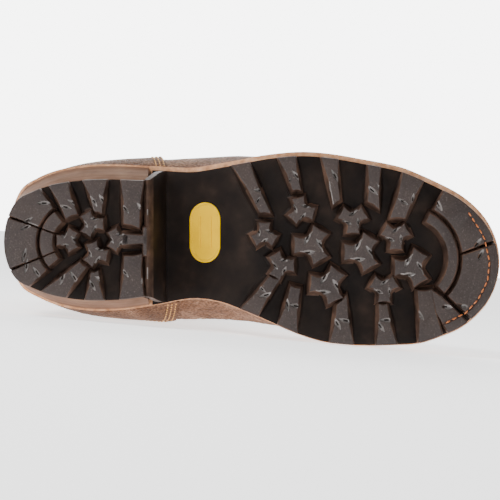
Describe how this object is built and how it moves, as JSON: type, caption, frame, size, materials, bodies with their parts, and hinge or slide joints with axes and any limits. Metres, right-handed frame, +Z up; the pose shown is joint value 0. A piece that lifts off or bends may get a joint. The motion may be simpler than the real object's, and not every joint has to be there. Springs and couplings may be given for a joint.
{
  "type": "logger boot",
  "caption": "Lace-up leather logger boot, right foot, lying on its side: hollow upper over a welted midsole, stacked heel and one-piece lug rubber sole.",
  "frame": {"origin": "centre of the bounding box, on the floor that the boot lies on", "axes": "+X towards the toe, +Y towards the collar, so the tread faces -Y; +Z up, with the medial side on the floor"},
  "size_m": [0.3134, 0.2928, 0.118],
  "materials": {
    "rubber": "matte black-brown moulded rubber",
    "stack": "smooth brown stacked heel leather",
    "edge": "pale tan cut leather edge",
    "leather": "oiled brown pebbled leather",
    "lining": "undyed tan lining leather",
    "brass": "worn brass eyelets",
    "lace": "dark brown waxed round lace",
    "inlay": "yellow moulded rubber inlay, plain"
  },
  "bodies": {
    "root": {"counter": "leather", "eyelet_lateral_1": "brass", "eyelet_lateral_2": "brass", "eyelet_lateral_3": "brass", "eyelet_lateral_4": "brass", "eyelet_lateral_5": "brass", "eyelet_lateral_6": "brass", "eyelet_lateral_7": "brass", "eyelet_lateral_8": "brass", "eyelet_medial_1": "brass", "eyelet_medial_2": "brass", "eyelet_medial_3": "brass", "eyelet_medial_4": "brass", "eyelet_medial_5": "brass", "eyelet_medial_6": "brass", "eyelet_medial_7": "brass", "eyelet_medial_8": "brass", "eyestay_lateral": "leather", "eyestay_medial": "leather", "heel_stack": "stack", "inlay": "inlay", "insole": "lining", "lace_bar": "lace", "lace_cross_1": "lace", "lace_cross_2": "lace", "lace_cross_3": "lace", "lace_cross_4": "lace", "lace_cross_5": "lace", "lace_cross_6": "lace", "lace_cross_7": "lace", "midsole": "edge", "outsole": "rubber", "quarters": "leather", "tongue": "leather", "vamp": "leather", "welt": "edge"}
  },
  "joints": []
}
